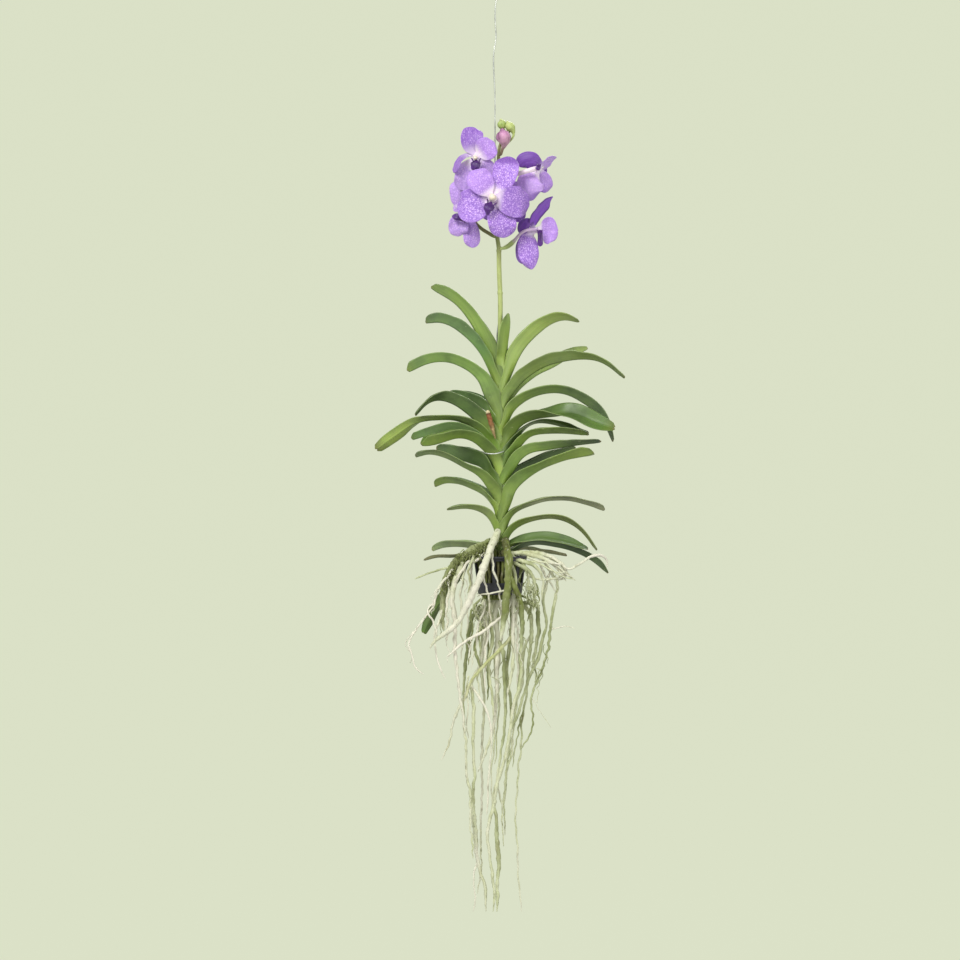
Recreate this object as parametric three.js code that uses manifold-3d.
// Vanda orchid in a small hanging net basket: bare aerial roots below, a fan of
// folded leaves in two ranks on one stem, one flower spike, and the stiff wire
// that the plant hangs from. Millimetres, +Z up, front of the plant towards -Y.
// The origin is the point inside the hook where it bears on what it hangs from.
import * as THREE from "three";
import { LoftGeometry } from "three/addons/geometries/LoftGeometry.js";
import { mergeVertices } from "three/addons/utils/BufferGeometryUtils.js";
import Module from "manifold-3d";

const wasm = await Module();
wasm.setup();

// ---- driving dimensions (mm) ------------------------------------------------
const WIRE_D = 1.2;            // hanger wire
const HOOK_R = 6.6;            // hook, centre line radius
const HOOK_DROP = 6;           // hook centre below the origin
const BASKET_X = 3.45;         // basket axis
const BASKET_Y = -6.5;
const RIM_Z = -453.8;          // top of the rim
const BASKET_H = 29.6;         // rim top to base
const RIM_R = 23;              // outside of the rim flange
const RIM_T = 1.4;
const WALL_T = 1.2;
const WALL_R_TOP = 20.8;
const WALL_R_BASE = 17.0;
const BASE_HOLE_R = 14.6;
const SLOTS = 12;
const SLOT_W = 6.8;
const SLOT_H = 17;
const TIE_X = 3.3, TIE_Y = -3.9, TIE_Z = -373.4, TIE_RX = 3.75, TIE_RY = 8.5, TIE_D = 0.9;
const TEPAL_T = 1.0;
const ROOT_SIDES = 5;

const COLOUR = {
  wire: [0xb9bcb8, 0.38, 0.9], basket: [0x26262b, 0.55, 0.0], stem: [0x86964f, 0.6, 0.0],
  young: [0x8fae62, 0.5, 0.0], midd: [0x7d9c55, 0.5, 0.0], mid: [0x6f8f4b, 0.5, 0.0],
  dark: [0x4f6b38, 0.5, 0.0], darkm: [0x56733c, 0.5, 0.0], darkg: [0x5d7350, 0.55, 0.0],
  grey: [0x7e9274, 0.6, 0.0], dry: [0xb4ad86, 0.8, 0.0],
  spike: [0x7b8246, 0.55, 0.0], stub: [0x8a6a48, 0.8, 0.0], flower: [0xa078d2, 0.6, 0.0],
  lip: [0x2a1640, 0.45, 0.0], bud: [0xa9bd6c, 0.55, 0.0], bud_violet: [0x8c62a8, 0.55, 0.0],
  white_root: [0xd9dcc6, 0.8, 0.0], green_root: [0x8b9a58, 0.7, 0.0], pale_root: [0xcdd3bd, 0.8, 0.0],
};

// stem and spike: x, y, z, radius
const STEM_PATH = [[4.55,-6.5,-299.8,2.03],[4.24,-6.5,-316.91,2.34],[3.85,-6.5,-332.46,2.4],[3.46,-6.5,-348.02,2.4],[3.46,-6.5,-363.57,2.4],[3.85,-6.5,-379.13,2.4],[4.24,-6.5,-394.68,2.4],[4.24,-6.5,-410.23,2.4],[3.85,-6.5,-425.79,2.4],[3.46,-6.5,-441.34,2.46],[3.46,-6.5,-451.45,2.46],[3.46,-6.5,-461.56,2.11]];
const SPIKE_PATH = [[3.62,-6.4,-295.91,1.76],[3.62,-6.6,-285.81,1.79],[3.61,-7.2,-270.29,1.83],[3.6,-8.6,-253.27,1.87],[2.9,-9.0,-235.43,1.83],[2.67,-9.0,-220.67,1.79],[2.44,-9.0,-213.68,1.72],[1.58,-9.0,-208.25,1.56],[0.65,-9.0,-202.81,1.48],[0.96,-8.6,-194.23,1.4],[1.66,-8.2,-183.31,1.36],[2.13,-8.0,-170.86,1.33],[2.13,-8.2,-158.44,1.33],[2.13,-8.6,-148.39,1.33],[2.44,-9.0,-141.44,1.25],[3.06,-9.0,-136.0,1.13],[4.85,-8.4,-130.88,0.98],[6.72,-8.0,-125.78,0.78]];
const STUB_PATH = [[-0.31,-13.6,-362.12,0.62],[-1.71,-14.8,-357.49,1.25],[-3.11,-15.6,-352.08,1.79],[-4.66,-16.2,-346.68,2.03],[-5.9,-16.6,-342.43,1.79]];

// straight run of the hanger wire, top to bottom: x, y, z
const WIRE_RUN = [[0.0,0.0,-40.56],[0.39,0.0,-49.92],[-1.01,0.0,-59.28],[-1.17,0.0,-78.78],[-0.47,0.0,-94.38],[-0.47,0.0,-117.78],[-0.39,0.6,-145.01],[0.08,1.0,-176.18],[1.96,0.8,-192.59],[2.73,0.6,-207.43],[2.97,0.2,-230.87],[3.51,0.2,-254.27],[2.89,0.2,-269.87],[1.56,0.3,-278.44],[1.33,0.7,-289.35],[1.49,2.0,-310.36],[1.66,3.6,-330.62],[1.98,4.8,-343.09],[2.29,4.2,-355.61],[2.75,2.8,-372.81],[3.53,2.8,-394.68],[3.85,3.2,-414.21],[3.69,3.6,-431.4],[3.56,6.9,-442.41]];

// buds with their stalks: x, y, z, radius
const BUDS = {
  bud_green_left: [[5.94,-7.6,-124.02,0.74],[5.63,-7.6,-122.31,1.01],[5.01,-7.6,-120.52,2.34],[4.54,-7.6,-118.43,2.89],[4.23,-7.6,-116.4,2.42],[4.08,-7.6,-114.54,0.86]],
  bud_green_right: [[6.85,-11.2,-135.02,0.78],[9.64,-11.0,-132.98,0.78],[12.44,-10.6,-129.98,0.82],[14.0,-10.0,-126.49,0.94],[13.54,-9.6,-123.49,1.95],[11.91,-9.4,-120.98,3.2],[10.36,-9.2,-118.78,2.96],[9.35,-9.0,-117.05,1.25]],
  bud_violet: [[4.05,-11.6,-142.13,0.94],[5.2,-13.6,-138.56,1.17],[6.42,-15.4,-135.52,2.26],[6.65,-16.2,-132.83,4.45],[6.18,-16.4,-129.44,5.77],[5.64,-16.0,-126.45,4.91],[5.26,-15.6,-124.24,1.95]]
};

// leaves: b = blade's cross direction at the base, t = thickness,
// r = stations along the keel: x, y, z, arm length, fold angle from flat, roll
const LEAVES = {
  leaf_l01: {b:[0.016,0.9999,-0.0],t:1.3,c:"young",r:[
    [-0.91,-6.48,-311.24,3.07,60.5,0.0],
    [-6.19,-6.4,-301.34,11.1,66.4,0.0],
    [-10.0,-6.34,-291.27,11.09,66.4,0.0],
    [-14.2,-6.27,-281.64,10.06,66.4,0.0],
    [-19.19,-6.19,-272.22,8.97,66.4,0.0],
    [-25.24,-6.09,-263.78,8.71,61.4,0.0],
    [-32.59,-5.97,-256.32,8.14,63.4,0.0],
    [-40.93,-5.84,-250.68,7.56,66.4,0.0],
    [-50.3,-5.69,-245.03,4.7,66.4,0.0]]},
  leaf_l02: {b:[0.0801,0.9968,-0.0],t:1.3,c:"midd",r:[
    [-0.66,-6.91,-321.17,2.4,33.4,0.0],
    [-4.3,-6.62,-311.26,9.0,39.7,0.0],
    [-8.36,-6.29,-301.74,9.0,45.7,0.0],
    [-13.47,-5.88,-293.15,8.94,52.4,0.0],
    [-20.02,-5.35,-285.6,8.9,60.7,0.0],
    [-27.6,-4.74,-279.18,9.26,62.9,0.0],
    [-35.68,-4.09,-274.03,8.37,62.8,0.0],
    [-44.83,-3.36,-271.45,7.86,62.8,0.0],
    [-54.12,-2.61,-272.32,6.4,62.8,0.0]]},
  leaf_l03: {b:[-0.0977,0.9952,-0.0],t:1.3,c:"mid",r:[
    [-2.12,-6.99,-340.12,3.66,64.6,0.0],
    [-7.85,-7.55,-330.14,13.59,64.6,0.0],
    [-11.54,-7.92,-320.29,11.01,64.6,0.0],
    [-17.96,-8.55,-312.36,8.96,54.7,0.0],
    [-27.21,-9.46,-306.32,8.88,50.8,0.0],
    [-37.08,-10.44,-303.1,8.71,52.3,0.0],
    [-47.69,-11.48,-302.92,8.14,58.1,0.0],
    [-58.31,-12.54,-306.04,7.62,64.6,0.0],
    [-67.67,-13.46,-310.5,6.4,64.6,0.0]]},
  leaf_l04a: {b:[0.4135,0.9105,-0.0],t:1.0,c:"dark",r:[
    [-2.16,0.11,-348.5,7.5,50.6,0.0],
    [-5.07,1.44,-343.42,7.74,60.2,0.0],
    [-8.25,2.88,-339.71,8.52,60.2,0.0],
    [-12.42,4.77,-337.04,9.29,60.2,0.0],
    [-17.14,6.91,-334.62,9.17,60.2,0.0],
    [-21.99,9.1,-332.65,8.42,60.2,0.0],
    [-27.26,11.48,-331.14,7.52,60.2,0.0],
    [-32.53,13.85,-330.03,6.68,60.2,0.0],
    [-37.58,16.11,-329.72,4.27,60.2,0.0]]},
  leaf_l04b: {b:[-0.133,0.9911,-0.0],t:1.3,c:"mid",r:[
    [-0.27,-6.4,-362.76,1.21,44.8,0.0],
    [-8.65,-7.53,-356.35,10.53,66.9,0.0],
    [-15.29,-8.42,-348.85,10.65,66.9,0.0],
    [-22.07,-9.34,-342.53,10.21,66.9,0.0],
    [-29.9,-10.39,-336.81,9.61,66.9,0.0],
    [-37.9,-11.47,-333.37,8.71,62.6,0.0],
    [-46.36,-12.62,-332.51,8.14,33.5,0.0],
    [-55.16,-13.81,-336.51,5.8,18.4,0.0],
    [-61.84,-14.72,-344.01,3.78,25.3,0.0]]},
  leaf_l05: {b:[0.1124,0.9937,-0.0],t:1.3,c:"mid",r:[
    [-1.43,-5.39,-371.99,2.83,54.1,0.0],
    [-8.33,-4.61,-363.2,10.42,44.6,0.0],
    [-15.16,-3.83,-355.89,11.55,36.1,0.0],
    [-23.82,-2.85,-350.35,10.74,27.9,0.0],
    [-34.07,-1.69,-347.46,8.67,22.1,0.0],
    [-45.0,-0.46,-347.18,8.58,19.6,-1.0],
    [-56.01,0.79,-348.29,7.06,18.1,-8.0],
    [-65.92,1.9,-351.54,5.47,17.1,-40.2],
    [-75.01,2.93,-357.78,5.93,16.1,-57.0],
    [-84.1,3.95,-364.59,5.42,14.4,-59.9],
    [-93.02,4.95,-371.16,3.83,12.1,-58.0]]},
  leaf_l06: {b:[0.0896,0.996,-0.0],t:1.0,c:"mid",r:[
    [-1.17,-2.39,-380.08,5.44,28.9,0.0],
    [-7.08,-1.86,-372.16,9.0,42.8,0.0],
    [-12.9,-1.33,-364.73,9.0,42.8,0.0],
    [-19.86,-0.71,-358.96,8.96,39.7,0.0],
    [-28.12,0.04,-355.66,8.88,39.8,0.0],
    [-37.05,0.84,-355.39,8.71,41.2,0.0],
    [-46.39,1.68,-357.27,8.14,47.6,0.0],
    [-55.82,2.52,-359.76,7.11,57.5,0.0],
    [-64.8,3.33,-363.07,5.98,57.5,0.0]]},
  leaf_l07: {b:[-0.393,0.9195,-0.0],t:1.3,c:"mid",r:[
    [-1.26,-14.74,-387.21,10.0,28.7,0.0],
    [-5.21,-16.44,-378.89,10.0,38.9,0.0],
    [-9.95,-18.48,-371.82,10.0,41.3,0.0],
    [-15.83,-21.02,-365.68,9.95,36.5,0.0],
    [-23.01,-24.13,-362.55,9.87,34.9,0.0],
    [-31.05,-27.62,-362.17,9.68,39.3,0.0],
    [-38.86,-31.03,-364.44,9.05,47.0,0.0],
    [-47.94,-34.98,-367.14,8.27,61.6,0.0],
    [-56.87,-38.9,-368.31,7.77,61.6,0.0]]},
  leaf_l08a: {b:[0.1148,0.9934,-0.0],t:1.0,c:"dark",r:[
    [-0.86,-1.97,-398.76,7.42,27.5,0.0],
    [-4.94,-1.49,-392.55,9.0,39.6,0.0],
    [-8.78,-1.05,-386.49,9.0,41.4,0.0],
    [-13.15,-0.55,-381.26,8.96,41.8,0.0],
    [-18.42,0.06,-377.28,8.88,42.4,0.0],
    [-24.57,0.78,-374.64,8.71,42.8,0.0],
    [-31.44,1.57,-373.09,8.14,47.6,0.0],
    [-38.68,2.4,-371.91,7.2,56.2,0.0],
    [-46.0,3.25,-370.45,5.98,56.2,0.0]]},
  leaf_l08b: {b:[-0.2509,0.968,-0.0],t:1.3,c:"dark",r:[
    [-0.52,-11.92,-409.84,8.93,29.4,0.0],
    [-5.66,-13.26,-401.29,10.0,44.0,0.0],
    [-10.53,-14.53,-393.17,10.0,37.4,0.0],
    [-17.11,-16.25,-386.65,9.95,32.1,0.0],
    [-25.43,-18.43,-381.78,9.87,28.8,0.0],
    [-34.25,-20.74,-377.51,9.68,28.6,0.0],
    [-43.2,-23.09,-374.56,9.05,27.3,0.0],
    [-52.47,-25.53,-373.97,7.53,27.8,0.0],
    [-61.45,-27.91,-376.88,4.2,55.0,0.0]]},
  leaf_l09: {b:[0.2394,0.9709,-0.0],t:1.3,c:"dark",r:[
    [0.22,0.45,-419.12,9.0,14.9,0.0],
    [-3.69,1.42,-412.59,9.0,27.1,0.0],
    [-7.96,2.47,-407.37,9.0,31.3,0.0],
    [-13.65,3.87,-403.31,8.96,32.0,0.0],
    [-20.14,5.47,-400.08,8.88,30.2,0.0],
    [-26.94,7.14,-397.55,8.71,28.3,0.0],
    [-33.86,8.83,-396.63,8.14,32.3,0.0],
    [-40.7,10.51,-397.16,6.78,41.6,0.0],
    [-46.91,12.02,-400.05,5.46,55.2,0.0]]},
  leaf_l10: {b:[-0.1365,0.9906,-0.0],t:1.3,c:"mid",r:[
    [-0.84,-6.56,-433.19,2.13,37.3,0.0],
    [-3.35,-6.9,-427.86,8.0,41.0,0.0],
    [-6.14,-7.29,-423.39,7.99,41.2,0.0],
    [-10.02,-7.82,-420.26,7.94,39.8,0.0],
    [-15.06,-8.52,-418.12,7.87,36.1,0.0],
    [-20.45,-9.27,-416.96,7.68,32.3,0.0],
    [-26.09,-10.05,-416.73,7.13,30.0,0.0],
    [-31.76,-10.84,-417.25,5.9,29.7,0.0],
    [-37.54,-11.64,-418.07,3.36,25.8,0.0]]},
  leaf_l11: {b:[0.2679,0.9635,-0.0],t:1.3,c:"grey",r:[
    [-2.18,-5.14,-454.22,3.37,46.0,0.0],
    [-6.78,-3.86,-450.87,8.0,48.4,0.0],
    [-12.31,-2.32,-448.75,7.99,44.9,0.0],
    [-18.56,-0.58,-447.11,7.94,40.4,0.0],
    [-24.74,1.13,-446.04,7.87,39.3,0.0],
    [-31.0,2.87,-445.69,7.69,39.9,0.0],
    [-37.35,4.63,-445.95,7.15,42.3,0.0],
    [-43.3,6.27,-447.03,5.93,53.2,0.0],
    [-48.89,7.81,-449.6,3.84,80.0,0.0]]},
  leaf_l12: {b:[0.5,0.866,-0.0],t:0.8,c:"dry",r:[
    [-10.5,11.59,-452.39,3.2,32.4,0.0],
    [-16.27,14.9,-452.88,3.2,43.3,0.0],
    [-21.96,18.16,-453.57,3.2,47.0,0.0],
    [-27.65,21.4,-454.75,3.18,47.3,0.0],
    [-33.51,24.74,-455.67,3.16,47.8,0.0],
    [-39.44,28.1,-455.85,3.1,49.1,0.0],
    [-45.15,31.32,-455.96,2.9,53.9,0.0],
    [-50.69,34.45,-457.22,2.56,66.0,0.0],
    [-56.3,37.6,-458.89,1.71,66.0,0.0]]},
  leaf_l13: {b:[0.1909,0.9816,-0.0],t:1.3,c:"darkg",r:[
    [-0.02,3.09,-454.2,4.06,39.1,0.0],
    [-10.8,5.18,-450.06,4.6,39.1,0.0],
    [-19.15,6.8,-454.78,9.17,39.1,0.0],
    [-23.63,7.66,-465.25,11.18,38.7,-4.2],
    [-30.4,8.97,-475.76,8.4,37.1,-20.0],
    [-38.31,10.5,-484.45,5.43,34.9,-41.8],
    [-45.5,11.89,-493.89,4.51,31.8,-60.0],
    [-51.53,13.05,-504.0,4.61,27.9,-67.0],
    [-56.24,13.96,-514.88,2.57,23.1,-70.0]]},
  leaf_r00: {b:[0.0,-1.0,-0.0],t:0.8,c:"young",r:[
    [8.2,-7.22,-300.42,14.6,24.1,0.0],
    [8.89,-7.22,-294.57,14.6,32.7,0.0],
    [9.15,-7.22,-288.99,14.57,33.1,0.0],
    [9.83,-7.22,-283.28,14.41,33.0,0.0],
    [10.57,-7.22,-277.38,13.82,32.4,0.0],
    [10.91,-7.22,-271.37,12.02,30.2,0.0],
    [10.44,-7.22,-265.23,6.13,27.8,0.0]]},
  leaf_r01: {b:[0.0439,-0.999,-0.0],t:1.3,c:"young",r:[
    [9.75,-5.96,-321.1,3.48,48.1,0.0],
    [13.7,-5.79,-311.05,9.13,66.6,0.0],
    [17.64,-5.62,-301.45,10.12,66.6,0.0],
    [22.72,-5.39,-293.26,10.25,66.6,0.0],
    [29.46,-5.1,-285.6,9.75,66.6,0.0],
    [36.85,-4.77,-278.42,8.71,60.8,0.0],
    [45.12,-4.41,-272.71,8.14,46.1,0.0],
    [54.53,-4.0,-270.04,6.78,33.5,0.0],
    [64.73,-3.55,-271.9,3.78,22.4,0.0]]},
  leaf_r02a: {b:[0.3821,-0.9241,-0.0],t:1.1,c:"young",r:[
    [9.04,4.46,-340.13,8.0,59.0,0.0],
    [13.86,6.44,-330.48,8.76,80.0,0.0],
    [19.61,8.8,-322.6,10.09,80.0,0.0],
    [26.95,11.8,-316.08,10.25,80.0,0.0],
    [35.28,15.2,-310.59,9.45,80.0,0.0],
    [44.87,19.09,-305.93,8.87,80.0,0.0],
    [54.04,22.81,-300.66,7.66,80.0,0.0],
    [63.41,26.59,-296.04,6.35,80.0,0.0],
    [73.01,30.45,-291.81,4.27,80.0,0.0]]},
  leaf_r02b: {b:[-0.2423,-0.9702,-0.0],t:1.3,c:"mid",r:[
    [9.42,-7.37,-335.78,3.57,40.4,0.0],
    [14.79,-8.72,-324.82,9.0,55.8,0.0],
    [22.39,-10.63,-316.42,9.0,61.8,0.0],
    [32.33,-13.14,-309.69,8.98,56.8,0.0],
    [43.17,-15.88,-304.61,8.91,60.0,0.0],
    [54.57,-18.77,-301.96,8.85,56.2,0.0],
    [66.47,-21.8,-300.86,8.52,40.1,0.0],
    [78.12,-24.77,-302.8,8.02,24.9,0.0],
    [88.87,-27.52,-308.73,6.57,21.4,0.0],
    [98.97,-30.11,-316.29,3.78,20.9,0.0]]},
  leaf_r03: {b:[0.0175,-0.9998,-0.0],t:1.3,c:"mid",r:[
    [9.76,-6.39,-350.95,5.11,40.3,0.0],
    [13.95,-6.32,-341.05,9.0,56.1,0.0],
    [20.94,-6.19,-334.04,9.0,49.4,0.0],
    [31.04,-6.02,-328.95,9.0,40.9,0.0],
    [41.73,-5.83,-326.52,8.94,40.9,0.0],
    [52.84,-5.64,-327.2,8.88,38.7,0.0],
    [62.84,-5.46,-330.93,8.82,41.1,0.0],
    [72.55,-5.29,-337.33,8.37,49.6,0.0],
    [80.65,-5.15,-344.64,7.92,45.9,0.0],
    [86.74,-5.04,-353.81,6.4,34.3,0.0],
    [90.85,-4.97,-364.78,3.78,18.7,0.0]]},
  leaf_r04: {b:[-0.1901,-0.9818,-0.0],t:1.3,c:"mid",r:[
    [10.6,-7.3,-366.3,8.11,62.3,0.0],
    [14.84,-8.13,-358.26,11.15,52.6,0.0],
    [20.01,-9.14,-351.91,11.04,44.5,0.0],
    [27.8,-10.66,-348.03,11.37,38.3,0.0],
    [37.14,-12.49,-345.89,11.15,33.6,5.5],
    [46.69,-14.35,-344.59,10.8,30.3,22.0],
    [55.26,-16.04,-343.38,9.43,28.2,42.0],
    [64.37,-17.83,-344.92,8.68,26.3,55.2],
    [73.37,-19.6,-348.43,7.94,23.5,62.0],
    [82.67,-21.43,-351.91,6.39,20.2,64.8],
    [91.99,-23.27,-354.77,2.86,16.3,66.0]]},
  leaf_r05: {b:[0.1358,-0.9907,-0.0],t:1.0,c:"dark",r:[
    [9.55,-6.48,-376.08,2.5,27.9,0.0],
    [13.78,-5.9,-368.19,8.0,42.3,0.0],
    [19.35,-5.13,-360.71,8.0,27.2,0.0],
    [26.47,-4.16,-354.98,7.96,15.2,0.0],
    [35.44,-2.93,-352.57,7.89,22.6,0.0],
    [44.69,-1.67,-352.27,7.74,27.9,0.0],
    [53.96,-0.4,-353.6,7.24,32.4,0.0],
    [63.08,0.84,-356.23,6.02,43.1,0.0],
    [72.44,2.12,-358.89,3.84,58.1,0.0]]},
  leaf_r06: {b:[-0.0271,-0.9996,-0.0],t:1.1,c:"mid",r:[
    [9.76,-7.44,-382.45,3.89,27.6,0.0],
    [15.26,-7.59,-375.29,8.5,53.6,0.0],
    [20.77,-7.74,-368.32,8.5,50.2,0.0],
    [26.86,-7.91,-363.06,8.46,37.3,0.0],
    [35.1,-8.13,-360.14,8.39,33.6,0.0],
    [43.86,-8.37,-359.01,8.22,32.7,0.0],
    [53.05,-8.62,-358.87,7.69,32.8,0.0],
    [62.2,-8.87,-359.38,6.4,36.1,0.0],
    [71.52,-9.12,-360.07,3.57,48.5,0.0]]},
  leaf_r07: {b:[-0.2128,-0.9771,-0.0],t:1.3,c:"mid",r:[
    [9.46,-8.08,-395.77,2.67,32.2,0.0],
    [14.57,-9.2,-386.23,9.0,55.6,0.0],
    [20.16,-10.43,-378.08,9.0,56.6,0.0],
    [27.64,-12.07,-373.5,8.96,53.0,0.0],
    [38.22,-14.4,-371.68,8.88,50.6,0.0],
    [48.86,-16.75,-369.97,8.71,46.0,0.0],
    [59.66,-19.14,-368.54,8.14,42.5,0.0],
    [70.4,-21.52,-367.19,6.78,40.2,0.0],
    [81.22,-23.92,-366.11,3.78,33.1,0.0]]},
  leaf_r08: {b:[0.3406,-0.9402,-0.0],t:1.0,c:"dark",r:[
    [10.64,3.29,-399.39,9.0,48.2,0.0],
    [15.3,4.97,-393.38,9.0,69.6,0.0],
    [20.16,6.72,-388.69,9.0,63.4,0.0],
    [26.74,9.08,-384.65,8.96,59.7,0.0],
    [33.6,11.54,-381.21,8.88,56.5,0.0],
    [40.77,14.1,-378.36,8.71,54.1,0.0],
    [48.18,16.74,-375.88,8.14,54.5,0.0],
    [55.64,19.39,-373.39,6.78,58.2,0.0],
    [63.06,22.02,-370.96,3.84,76.8,0.0]]},
  leaf_r09: {b:[-0.1225,-0.9925,-0.0],t:1.3,c:"darkm",r:[
    [10.0,-8.02,-421.23,4.66,31.4,0.0],
    [12.34,-8.31,-411.37,10.5,54.2,0.0],
    [15.15,-8.66,-402.79,10.5,55.1,0.0],
    [20.65,-9.34,-396.18,10.48,53.8,0.0],
    [28.42,-10.3,-390.26,10.4,39.1,0.0],
    [37.31,-11.41,-385.22,10.32,29.2,0.0],
    [46.81,-12.59,-381.2,9.94,28.4,-2.5],
    [56.46,-13.8,-377.95,9.57,21.6,-12.2],
    [66.23,-15.01,-376.19,9.44,21.6,-20.9],
    [76.08,-16.24,-374.27,4.34,21.6,-30.0]]},
  leaf_r10: {b:[0.0588,-0.9983,-0.0],t:1.1,c:"grey",r:[
    [8.86,-6.71,-434.05,3.11,26.7,0.0],
    [12.21,-6.51,-423.79,8.0,30.3,0.0],
    [19.4,-6.08,-417.2,8.0,24.6,0.0],
    [30.04,-5.46,-413.25,7.96,21.1,0.0],
    [40.93,-4.81,-410.52,7.89,19.9,0.0],
    [52.03,-4.16,-410.06,7.74,21.6,0.0],
    [63.23,-3.5,-411.44,7.24,25.1,0.0],
    [73.95,-2.87,-414.5,6.02,35.0,0.0],
    [84.61,-2.24,-418.57,3.84,56.9,0.0]]},
  leaf_r11: {b:[-0.0791,-0.9969,-0.0],t:1.3,c:"mid",r:[
    [8.11,-5.69,-446.75,2.41,24.8,0.0],
    [12.06,-6.01,-436.33,8.0,35.8,0.0],
    [19.76,-6.62,-429.41,8.0,29.4,0.0],
    [30.53,-7.48,-425.58,7.96,23.2,0.0],
    [41.89,-8.39,-424.26,7.89,21.5,0.0],
    [53.11,-9.28,-426.0,7.74,19.3,0.0],
    [63.17,-10.09,-431.46,6.13,19.3,0.0],
    [71.37,-10.74,-439.49,4.94,19.3,0.0],
    [78.32,-11.3,-449.03,3.12,19.3,0.0]]},
  leaf_r12: {b:[-0.0538,-0.9986,-0.0],t:1.3,c:"grey",r:[
    [8.42,-6.0,-453.66,2.63,44.0,0.0],
    [12.27,-6.2,-446.42,6.12,31.0,11.9],
    [19.81,-6.61,-443.12,7.38,26.2,22.1],
    [28.06,-7.06,-440.59,6.47,24.8,31.7],
    [36.78,-7.53,-439.93,6.31,24.0,34.0],
    [45.6,-8.01,-440.69,5.91,22.7,34.0],
    [54.32,-8.48,-442.54,5.09,21.0,34.0],
    [63.0,-8.95,-445.29,3.86,19.1,32.7],
    [71.57,-9.42,-448.42,1.97,17.0,30.0]]},
  leaf_r13: {b:[0.0695,-0.9976,-0.0],t:1.1,c:"darkg",r:[
    [8.27,-5.43,-459.61,2.75,21.8,0.0],
    [15.02,-4.96,-451.01,8.0,25.8,0.0],
    [24.84,-4.27,-447.31,8.0,28.7,0.0],
    [35.98,-3.5,-447.03,7.96,33.6,0.0],
    [47.3,-2.71,-448.73,7.89,40.3,0.0],
    [58.34,-1.94,-451.3,7.74,46.3,0.0],
    [68.81,-1.21,-455.24,7.24,47.7,0.0],
    [78.83,-0.52,-460.51,6.02,56.6,0.0],
    [87.48,0.08,-467.32,3.36,20.3,0.0]]},
  leaf_r14: {b:[0.4695,-0.8829,-0.0],t:0.8,c:"dry",r:[
    [11.61,6.77,-453.0,3.4,30.3,0.0],
    [18.95,10.63,-451.35,3.4,43.9,0.0],
    [26.39,14.53,-451.51,3.39,50.8,0.0],
    [33.97,18.49,-452.53,3.35,52.2,0.0],
    [41.56,22.44,-453.75,3.22,55.1,0.0],
    [49.04,26.32,-455.24,2.8,62.1,0.0],
    [56.49,30.17,-457.18,1.88,66.0,0.0]]}
};

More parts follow.
